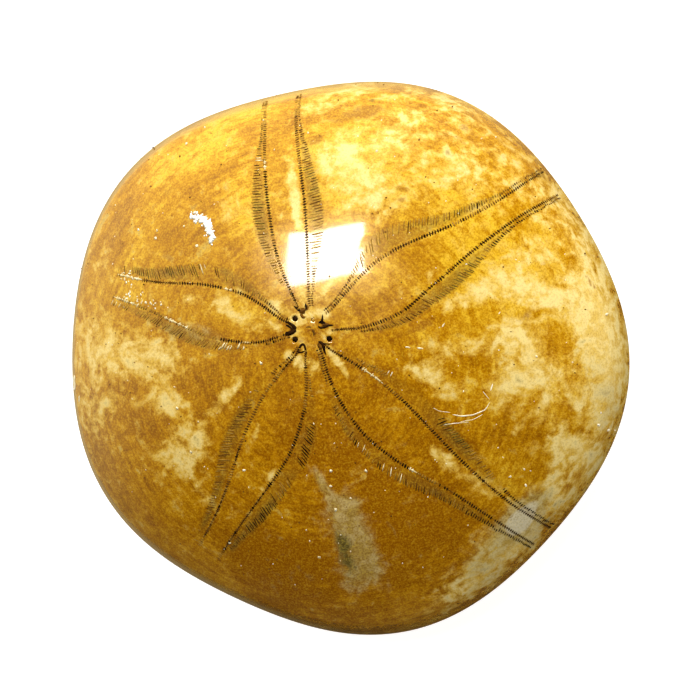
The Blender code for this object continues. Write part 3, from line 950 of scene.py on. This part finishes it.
# %% Lay out both kinds of pore along every row
# The share of a zone's width that stays clear between the inner row and the slits.
SLIT_START = {"front": 0.34, "front_right": 0.46, "back_right": 0.5, "back_left": 0.42, "front_left": 0.24}
chance = np.random.default_rng(7)
plug_rows = []
for (petal, side), (distance, x, y, lean, squash) in rows.items():
    count = len(distance)
    out_x, out_y = -side * np.sin(lean), side * np.cos(lean)
    size = np.interp(distance, (3, 8, 30, 42), (0.92, 1.05, 1.05, 0.9))
    jitter = chance.normal(0, 1, (6, count))
    # Inner pores are short dashes that lie across the row.
    long_half = (0.27 + 0.03 * jitter[0]) * size
    wide_half = (0.105 + 0.012 * jitter[1]) * size * squash
    slant = lean + QUARTER - 0.15 * side + 0.10 * jitter[2]
    looks = drawn_looks(INNER_LOOKS[petal, side], distance, chance)
    plug_rows.append(np.stack([x, y, long_half, wide_half, slant, looks], 1))
    # Outer pores are slits that end at the edge of the zone.
    zone = zone_width(petal, side, distance)
    inner_gap = np.maximum(SLIT_START[petal] * zone, 0.42)
    slit_half = np.clip((zone - inner_gap) / 2, 0.17, 0.85) * (1 + 0.2 * jitter[3])
    middle = np.maximum(zone - slit_half + 0.05 * jitter[4], 0.42)
    slit_wide = (0.076 + 0.018 * jitter[1]) * squash * np.interp(zone, (0.7, 1.6), (1.5, 1.0))
    # They lean towards the petal's tip, by up to about 25 degrees.
    tilt = np.interp(distance, (6, 12, 24, 34), (0.1, 0.42, 0.42, 0.15)) * (0.25 if petal == "front" else 1.0)
    slant = lean + QUARTER - side * tilt + 0.06 * jitter[5]
    looks = drawn_looks(OUTER_LOOKS[petal, side], distance, chance)
    x, y = x + out_x * middle, y + out_y * middle
    plug_rows.append(np.stack([x, y, slit_half, slit_wide, slant, looks], 1))
all_plugs = np.concatenate(plug_rows)
print(len(all_plugs), "pores laid out")

# %% [markdown]
# The fillings differ by tone more than by texture, yet none is a flat colour: each gets a little noise, so
# that a row shows lighter and darker fillings, and a roughness that varies a little.

# %% Finishes of the fillings
def filling_finish(name, dark, light, gloss=0.25, roughness=0.5):
    filling = Finish(name)
    tone = filling.noise(0.7, 3.0)
    fine = filling.noise(0.12, 2.0)
    colour = filling.mix(filling.ramp(tone + 0.4 * fine, 0.5, 0.9), dark, light)
    wear = filling.ramp(fine, 0.3, 0.7, roughness - 0.05, roughness + 0.15)
    filling.surface(Base_Color=colour, Roughness=wear, IOR=1.5, Specular_IOR_Level=gloss)
    return filling.material


# The black filling also paints the shade inside the open egg pores.
FILLINGS = {
    "black": filling_finish("black_filling_and_pore_shade", rgb(0.004, 0.001, 0.0), rgb(0.030, 0.011, 0.001), 0.05),
    "brown": filling_finish("brown_filling", rgb(0.075, 0.026, 0.001), rgb(0.18, 0.075, 0.005), 0.1),
    "faint": filling_finish("tan_filling", rgb(0.22, 0.105, 0.008), rgb(0.36, 0.20, 0.030), 0.1),
    "white": filling_finish("cream_filling", rgb(0.56, 0.43, 0.17), rgb(0.84, 0.74, 0.46)),
    "speck": filling_finish("white_crystal", rgb(0.74, 0.62, 0.34), rgb(0.95, 0.90, 0.72)),
    "chip": filling_finish("white_chip", rgb(0.90, 0.86, 0.72), rgb(0.97, 0.97, 0.93)),
    "olive": filling_finish("olive_filling", rgb(0.060, 0.036, 0.003), rgb(0.20, 0.125, 0.014), 0.08),
}
for look in LOOKS[:-1]:
    chosen = all_plugs[all_plugs[:, 5] == LOOKS.index(look)]
    make_piece("pores_" + look, *plugs(*chosen.T[:5]), FILLINGS[look])

# %% [markdown]
# ## Strings and eye marks
#
# The pores of a row hang on a thin dark string of stain, and in places the string is all that is left.
# Where the rows meet, the plates at the top carry small dark loops. A curve object with a bevel could draw
# them, but would float over the dome, so a string is a narrow strip of four-sided section that is let into
# the surface along a plan path.

# %% Strips let into the surface
def strips(paths):
    """Points and faces of strips. Each path is (x, y, half width) along a plan line.

    At each station the section has a left, top, right and bottom point: the sides lie half a width away,
    square to the path. Sections are joined by quads, and each end is closed by one more.
    """
    spots, faces, start = [], [], 0
    for x, y, half in paths:
        lean = np.arctan2(np.gradient(y), np.gradient(x))
        aside_x, aside_y = -np.sin(lean) * half, np.cos(lean) * half
        all_x = np.stack([x + aside_x, x, x - aside_x, x], 1)
        all_y = np.stack([y + aside_y, y, y - aside_y, y], 1)
        lift = np.array([PROUD * 0.6, PROUD * 1.2, PROUD * 0.6, -SUNK])
        spots.append(on_shell(*station_over(all_x, all_y), lift).reshape(-1, 3))
        here = 4 * np.arange(len(x) - 1)[:, None] + np.arange(4)
        after = 4 * np.arange(len(x) - 1)[:, None] + np.roll(np.arange(4), -1)
        sides = np.stack([here, after, after + 4, here + 4], -1).reshape(-1, 4)
        last = 4 * (len(x) - 1)
        caps = np.array([[3, 2, 1, 0], [last, last + 1, last + 2, last + 3]])
        faces.append(np.concatenate([sides, caps]) + start)
        start += 4 * len(x)
    return np.concatenate(spots), [np.concatenate(faces)]


def drawn(corners, half, step=0.12, taper=0.3):
    """A path through a few plan corners, rounded off, whose half width tapers over its ends."""
    corners = np.array(corners, float)
    walked = np.append(0, np.cumsum(np.hypot(*np.diff(corners, axis=0).T)))
    places = np.linspace(0, walked[-1], max(int(walked[-1] / step), 5))
    window = np.linspace(-0.1, 0.1, 5)[:, None] * min(walked[-1], 2.0)
    read = np.clip(places + window, 0, walked[-1])
    x, y = (np.interp(read, walked, corners[:, axis]).mean(0) for axis in (0, 1))
    widths = np.interp(places, walked, half) if np.ndim(half) else np.full(len(x), half)
    ends = np.minimum(places, walked[-1] - places)
    return x, y, widths * np.clip(0.15 + ends / taper, 0.15, 1)


print("a strip 1 mm long has", len(drawn([(0, 0), (1, 0)], 0.1)[0]), "stations")

# %% Strings along the inner rows
STRINGS = {"line": ("black", 0.080), "black": ("brown", 0.045), "white": ("white", 0.10)}
string_paths = {"black": [], "brown": [], "white": []}
for (petal, side), stretches in INNER_LOOKS.items():
    start = 2.9
    for end, look in stretches:
        tip = min(end, PETALS[petal]["end"] - 0.3)
        if look in STRINGS and tip - start > 0.6:
            colour, half = STRINGS[look]
            distance = np.linspace(start, tip, int((tip - start) / 0.16) + 3)
            turn = row_turn(petal, side, distance)
            ends = np.clip(0.15 + np.minimum(distance - start, tip - distance) / 0.8, 0.15, 1)
            wander = 0.25 * np.sin(distance * 2.3 + side) + 0.1 * chance.normal(0, 1, len(distance))
            half = half * ends * (1 + wander)
            string_paths[colour].append((distance * np.cos(turn), distance * np.sin(turn), half))
        start = end
print(sum(len(paths) for paths in string_paths.values()), "strings")

# %% The marks round the top plate
BLACK_MARKS = (
    # front left: a thick black V with a pale slot in its upper arm
    drawn([(-3.05, 1.62), (-2.6, 1.35), (-2.1, 0.85), (-1.78, 0.32)], (0.10, 0.15, 0.2, 0.14), taper=0.15),
    drawn([(-3.1, 1.25), (-2.75, 0.95), (-2.4, 0.6)], (0.10, 0.13, 0.1), taper=0.15),
    drawn([(-3.5, 0.12), (-3.1, -0.02), (-2.6, 0.02), (-2.15, 0.2), (-1.8, 0.32)],
          (0.2, 0.25, 0.27, 0.26, 0.16), taper=0.15),
    drawn([(-2.3, 0.72), (-2.42, 0.3)], 0.2, taper=0.1),
    # back left: a loop like a drop
    drawn([(-3.0, -3.3), (-2.3, -2.6), (-1.85, -2.05), (-1.5, -1.75), (-1.22, -1.95), (-1.22, -2.6),
           (-1.2, -3.4)], (0.07, 0.15, 0.13, 0.15, 0.13, 0.12, 0.05)),
    drawn([(-2.4, -2.7), (-1.9, -2.85), (-1.35, -2.75)], 0.1),
    # back right: a stalked blot
    drawn([(0.65, -1.85), (1.05, -2.2), (1.3, -2.6), (1.22, -3.2), (1.3, -4.0)], (0.1, 0.2, 0.2, 0.14, 0.05)),
    drawn([(1.1, -2.3), (1.6, -2.45), (2.3, -2.7)], (0.16, 0.1, 0.04)),
    # front right and front
    drawn([(1.15, 0.2), (1.3, -0.2), (1.9, -0.28), (2.5, -0.12), (3.3, -0.3)],
          (0.07, 0.12, 0.16, 0.16, 0.05)),
    drawn([(1.25, 0.4), (1.6, 0.55), (2.0, 0.3), (2.2, -0.05)], (0.07, 0.16, 0.2, 0.14)),
    drawn([(1.75, 0.4), (1.95, 0.9), (2.15, 1.5)], (0.16, 0.12, 0.05)),
    drawn([(-1.5, 3.5), (-1.15, 3.05), (-0.9, 2.75), (-0.65, 2.5)], (0.07, 0.12, 0.16, 0.1)),
    drawn([(0.16, 3.5), (0.16, 2.9), (0.05, 2.4)], (0.06, 0.15, 0.14)),
)
BROWN_MARKS = (
    drawn([(-0.95, 2.6), (-0.6, 2.45), (-0.3, 2.6), (0.1, 2.65)], (0.16, 0.36, 0.3, 0.2)),
    drawn([(-0.7, 2.35), (-0.7, 1.95), (-0.5, 1.62), (-0.15, 1.72)], (0.16, 0.15, 0.18, 0.1)),
    drawn([(-0.1, 2.4), (-0.3, 2.2), (-0.35, 2.0)], (0.12, 0.12, 0.06)),
    drawn([(0.35, 3.2), (0.4, 2.8), (0.2, 2.4)], (0.05, 0.08, 0.06)),
    drawn([(0.65, -2.05), (0.8, -2.6), (0.85, -3.2)], (0.18, 0.26, 0.12)),
    drawn([(1.6, 0.15), (2.2, 0.1), (2.8, -0.1)], (0.16, 0.2, 0.05)),
    drawn([(0.2, -0.05), (0.42, -0.4), (0.45, -0.85), (0.2, -1.05)], (0.06, 0.15, 0.16, 0.06)),
    drawn([(-0.55, 0.2), (-0.2, 0.32), (0.12, 0.2), (0.25, 0.0)], (0.04, 0.07, 0.08, 0.05)),
    drawn([(-2.0, -2.4), (-1.85, -2.6)], 0.08),
    drawn([(0.72 + 0.28 * math.cos(a), 1.07 + 0.24 * math.sin(a)) for a in np.linspace(0.3, 6.2, 14)],
          0.045, step=0.06),
    drawn([(0.66, 1.0), (0.72, 1.12), (0.8, 1.05)], 0.05, step=0.05),
)
MARK_WEIGHT = 1.2
for colour, marks in (("black", BLACK_MARKS), ("brown", BROWN_MARKS), ("white", ())):
    heavier = [(x, y, MARK_WEIGHT * half) for x, y, half in marks]
    make_piece("strings_" + colour, *strips([*string_paths[colour], *heavier]), FILLINGS[colour])

# %% Black discs in the egg pores, painted shade
# The egg pores are open holes, and a black disc set down in each paints the shade of the hole. Each disc is
# lifted, so that its rim meets the pore's wall just under the surface.
SHADE_DISC_RISE = 0.20
egg_x, egg_y = np.array(list(EGG_PORES.values())).T
size = np.full(len(EGG_PORES), EGG_PORE_RADIUS)
spots, faces = plugs(egg_x, egg_y, size, size, np.zeros(len(EGG_PORES)))
make_piece("egg_pore_shade_discs", spots + np.array([0, 0, SHADE_DISC_RISE]), faces, FILLINGS["black"])

# %% [markdown]
# ## Chips, specks and scratches
#
# Handling leaves its own marks: a white chip beside the front petal, curved scratches low on the right,
# and specks of white where single pores or crystals broke out. They are the same strips and plugs, with
# ragged rims.

# %% White specks
SPECK_PLACES = (
    (-21.5, 18.7), (-18.6, 17.9), (-14.5, 17.5), (-19, 16.9), (-10.4, 30.8), (-13.1, 29), (-22.9, 14.9),
    (-13.1, 14.4), (-19, 7.2), (13.4, 21.3), (28.1, -10.4), (32.4, -12.3), (22.9, -24.9), (20.9, -25.4),
    (22.5, -27.1), (34.6, -22.6), (35.3, -22.9), (33.6, -21.5), (34.3, -19.9), (38, -7.1), (-7.6, -3),
    (-20.5, -12.6), (-18.3, -8.8), (-20.9, -6.4), (-13.7, -16.6), (-19, -26.1), (-7.5, -26.4), (-7.5, -28),
    (-6.9, -30.5), (-2.5, -21.2), (-0.3, -23.4), (-1.9, -19.2), (2.7, -20.2), (-5.3, -19.1), (-2.7, -24.5),
)
ENDS_OF_ROWS = ((-24.7, 12.9), (-23.8, 12.4), (-24.8, 10.2), (-23.0, 9.0), (-21.5, 8.2))
BITS_AT_AN_END, STRAY_SPECKS = 9, 150


def strewn(count, radius):
    """Points strewn evenly over a disc, and their turns: the square root keeps the middle from crowding."""
    turns = chance.uniform(0, FULL, count)
    reaches = radius * np.sqrt(chance.uniform(0.02, 1, count))
    return reaches * np.cos(turns), reaches * np.sin(turns), turns


speck_x, speck_y = np.array(SPECK_PLACES).T
ends_count = BITS_AT_AN_END * len(ENDS_OF_ROWS)
ends_x, ends_y = np.repeat(np.array(ENDS_OF_ROWS), BITS_AT_AN_END, axis=0).T
ends_x, ends_y = (ends_x, ends_y) + chance.normal(0, 0.55, (2, ends_count))
stray_x, stray_y, _ = strewn(STRAY_SPECKS, 36)
wear_x, wear_y = np.concatenate([speck_x, ends_x, stray_x]), np.concatenate([speck_y, ends_y, stray_y])
count = len(wear_x)
wear_size = np.repeat([0.14, 0.12, 0.065], [len(speck_x), ends_count, STRAY_SPECKS])
wear_size = wear_size * chance.uniform(0.6, 1.4, count)
wear_long = wear_size * chance.uniform(1.0, 1.7, count)
wear_turn = chance.uniform(0, FULL, count)
ragged = chance.uniform(0.7, 1.25, (count, RING))
make_piece("white_specks", *plugs(wear_x, wear_y, wear_long, wear_size, wear_turn, ragged), FILLINGS["speck"])

# %% The chip, dark pits and scratches
# The chip is ragged bits along a bent line.
CHIP = np.array([(-12.8, 18.7), (-11.6, 17.6), (-10.9, 16.7), (-10.9, 15.6), (-11.1, 14.5)])
CHIP_BITS, PITS = 90, 170

along = chance.uniform(0, 1, CHIP_BITS)
chip_x, chip_y = (np.interp(along, np.linspace(0, 1, len(CHIP)), CHIP[:, axis]) for axis in (0, 1))
chip_size = chance.uniform(0.10, 0.42, CHIP_BITS)
chip_x, chip_y = (chip_x, chip_y) + chance.normal(0, 1, (2, CHIP_BITS)) * (0.56 - chip_size)
chip_turn = chance.uniform(0, FULL, CHIP_BITS)
ragged = chance.uniform(0.6, 1.3, (CHIP_BITS, RING))
bits = plugs(chip_x, chip_y, chip_size * 1.2, chip_size * 0.8, chip_turn, ragged)
make_piece("white_chip", *bits, FILLINGS["chip"])

pit_x, pit_y, pit_turn = strewn(PITS, 37)
pit_size = chance.uniform(0.05, 0.12, PITS)
ragged = chance.uniform(0.7, 1.25, (PITS, RING))
make_piece("dark_specks", *plugs(pit_x, pit_y, pit_size * 1.2, pit_size, pit_turn, ragged), FILLINGS["brown"])

SCRATCHES = (
    drawn([(15.7, -15.4), (16.8, -15.9), (18.3, -16.1), (20.0, -15.8), (20.9, -14.9)],
          (0.05, 0.09, 0.08, 0.06, 0.03)),
    drawn([(14.1, -16.5), (15.5, -16.6), (17.6, -16.9)], (0.05, 0.05, 0.03)),
    drawn([(21.8, -12.6), (21.3, -13.5)], 0.08), drawn([(24.6, -3.8), (24.9, -3.5)], 0.08, step=0.05),
    drawn([(17.6, -3.3), (17.1, -3.8)], 0.09, step=0.06),
    drawn([(11.8, -5.2), (12.5, -5.5)], 0.09, step=0.06),
    drawn([(13.3, -5.7), (14.1, -6.0)], 0.11, step=0.06), drawn([(8.6, -8.3), (9.1, -7.8)], 0.06, step=0.06),
    drawn([(9.0, -8.6), (9.5, -8.0)], 0.06, step=0.06),
    drawn([(16.4, -16.6), (18.2, -16.7), (19.6, -16.3)], 0.035),
    drawn([(13.4, -13.9), (14.2, -14.6), (15.6, -15.1)], 0.03), drawn([(20.3, -13.3), (20.9, -14.6)], 0.04),
    drawn([(-37.0, 1.4), (-37.6, -0.8)], 0.28), drawn([(-36.6, -1.6), (-36.9, -2.6)], 0.16),
)
make_piece("scratches", *strips(SCRATCHES), FILLINGS["speck"])

# %% [markdown]
# ## Underneath
#
# The short leaves round the mouth carry pores twice as large as the petals do, and the rest of the hollow
# is dotted with the bases of fine spines. The dots could be scattered at random, but spines stand evenly,
# so they follow a spiral that turns by the golden angle, which keeps every gap about the same.

# %% Leaf pores and spine bases
LEAF_WALK = 0.6
SPINES, SPINE_REACH, SPINE_START = 1100, 0.66, 0.06
GOLDEN_ANGLE = math.pi * (3 - math.sqrt(5))

leaf_places = []
for petal in PETALS:
    distance = np.arange(LEAF_START, LEAF_END, LEAF_WALK)
    for side in (CLOCKWISE, COUNTER):
        turns = heading(petal, distance) + side * np.arcsin(LEAF_HALF / distance)
        leaf_places.append((distance * np.cos(turns), distance * np.sin(turns), turns + 0.6 * side))
leaf_x, leaf_y, leaf_lean = np.concatenate(leaf_places, axis=1)
leaf_size = chance.uniform(0.85, 1.15, len(leaf_x))
leaves = plugs(leaf_x, leaf_y, 0.25 * leaf_size, 0.15 * leaf_size, leaf_lean, under=True)
make_piece("leaf_pores", *leaves, FILLINGS["black"])

spine = np.arange(SPINES)
spine_turn = spine * GOLDEN_ANGLE + chance.normal(0, 0.01, SPINES)
spine_reach = SPINE_REACH * reach(spine_turn) * np.sqrt(SPINE_START + (1 - SPINE_START) * spine / SPINES)
spine_x, spine_y = spine_reach * np.cos(spine_turn), spine_reach * np.sin(spine_turn)
spine_size = chance.uniform(0.10, 0.19, SPINES)
clear = oval_gap(spine_x, spine_y, VENT) > 1.3
spine_x, spine_y, spine_size, spine_turn = np.stack([spine_x, spine_y, spine_size, spine_turn])[:, clear]
ragged = chance.uniform(0.85, 1.15, (clear.sum(), RING))
bases = plugs(spine_x, spine_y, spine_size, spine_size, spine_turn, ragged, under=True)
make_piece("spine_bases", *bases, FILLINGS["white"])

# %% [markdown]
# ## Stage, light and camera
#
# The object stands on white paper that glows a little, so that it stays white without strong light. One
# window-sized panel overhead leaves its reflection beside the top. A wide panel low at the front and a weaker
# one at the right make those sides bright and leave the back deep amber, and the stone's colour carries
# painted light and shade the same way. The room is a soft gradient, so the gloss has something smooth to
# reflect, and nothing with an edge except the window.

# %% Hand the pieces to the frame
for piece in PIECES:
    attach(piece, "root")
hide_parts(NODE)
print(len(PIECES), "pieces ride on the root")

# %% Floor
def floor_finish():
    """Matt grey paper, with most of its white from a glow of its own."""
    paper = Finish("matt_white_paper")
    soft = paper.noise(40.0, 3.0)
    paper.surface(Base_Color=paper.mix(soft, rgb(0.48, 0.48, 0.48), rgb(0.52, 0.52, 0.52)), Roughness=0.9)
    paper.surface(Emission_Color=rgb(1, 1, 1), Emission_Strength=0.88, Specular_IOR_Level=0.0)
    return paper.material


bpy.ops.mesh.primitive_plane_add(size=6.0)
floor = bpy.context.object
floor.name = "floor"
floor.data.materials.append(floor_finish())
floor.visible_glossy = False

# %% Camera
LENS, SENSOR = 117.3, 36.0
CAMERA_LEAN, CAMERA_ROLL = math.radians(10), math.radians(103)
CAMERA_DISTANCE = 320.0
AIM = Vector((TOP_X + 1.68, TOP_Y - TOP_FORWARD + 0.52, 11.2))


def look_from(towards, roll):
    """Axes of a camera looking back along `towards`, with +Y at the angle `roll` in the picture."""
    back = Vector(towards).normalized()
    forward = (Vector((0, 1, 0)) - back * back.y).normalized()
    side = forward.cross(back)
    right = forward * math.cos(roll) + side * math.sin(roll)
    up = forward * math.sin(roll) - side * math.cos(roll)
    return Matrix((right, up, back)).transposed()


view_axes = look_from((math.tan(CAMERA_LEAN), 0, 1), CAMERA_ROLL)
camera = bpy.data.objects.new("camera", bpy.data.cameras.new("camera"))
camera.data.lens, camera.data.sensor_width = LENS, SENSOR
camera.matrix_world = Matrix.Translation((AIM + view_axes.col[2] * CAMERA_DISTANCE) * MM) @ view_axes.to_4x4()
camera.data.clip_start = 0.01
bpy.context.scene.collection.objects.link(camera)
bpy.context.scene.camera = camera
print("camera at", np.round(camera.location, 3))

# %% Lights
WINDOW_SPOT, WINDOW_DISTANCE = (5.4, 9.3), 900
MIDDLE = Vector((0, 0, 0.01))


def area_light(name, place, aim, size, power, roll=0.0, glossy=True):
    """A soft panel at a place, facing a point, turned about its own axis by roll."""
    panel = bpy.data.objects.new(name, bpy.data.lights.new(name, "AREA"))
    panel.data.shape = "RECTANGLE"
    panel.data.size, panel.data.size_y = size
    panel.data.energy = power
    panel.matrix_world = Matrix.Translation(place) @ look_from(place - aim, roll).to_4x4()
    panel.visible_glossy = glossy
    bpy.context.scene.collection.objects.link(panel)


spot_station, spot_turn = station_over(*(np.array([value]) for value in WINDOW_SPOT))
spot = Vector(smooth_shell(spot_station, spot_turn)[0])
normal = Vector(outward(spot_station, spot_turn)[0])
to_camera = (camera.location / MM - spot).normalized()
mirrored = normal * (2 * normal.dot(to_camera)) - to_camera
window_place = (spot + mirrored * WINDOW_DISTANCE) * MM
area_light("window", window_place, spot * MM, (0.27, 0.25), 4.8, math.radians(95))
area_light("front_panel", Vector((0.42, 1.02, 0.42)), MIDDLE, (1.2, 0.5), 17.0, QUARTER, glossy=False)
area_light("right_panel", Vector((1.0, -0.36, 0.55)), MIDDLE, (0.5, 1.0), 4.5, 0.0, glossy=False)
print("window reflects from", [round(value, 2) for value in window_place])

# %% Room
BRIGHT_SIDE = Vector((-0.45, 0.88, -0.1)).normalized()
world = bpy.data.worlds.new("studio")
bpy.context.scene.world = world
sky = Nodes(world, "Background")
around = sky.node("ShaderNodeTexCoord", output="Generated")
facing = sky.vector("DOT_PRODUCT", around, BRIGHT_SIDE)
rise = sky.node("ShaderNodeSeparateXYZ", None, {0: around}, "Z")
# The half below the floor is only seen in the gloss of the edge, which gives it the stone's own warmth.
sky.surface(Strength=sky.ramp(facing, -0.2, 0.9, 0.03, 1.05))
sky.surface(Color=sky.mix(sky.ramp(rise, -0.35, 0.0), rgb(1.0, 0.74, 0.34), rgb(1.0, 0.88, 0.56)))
bpy.context.scene.view_settings.view_transform = "Standard"
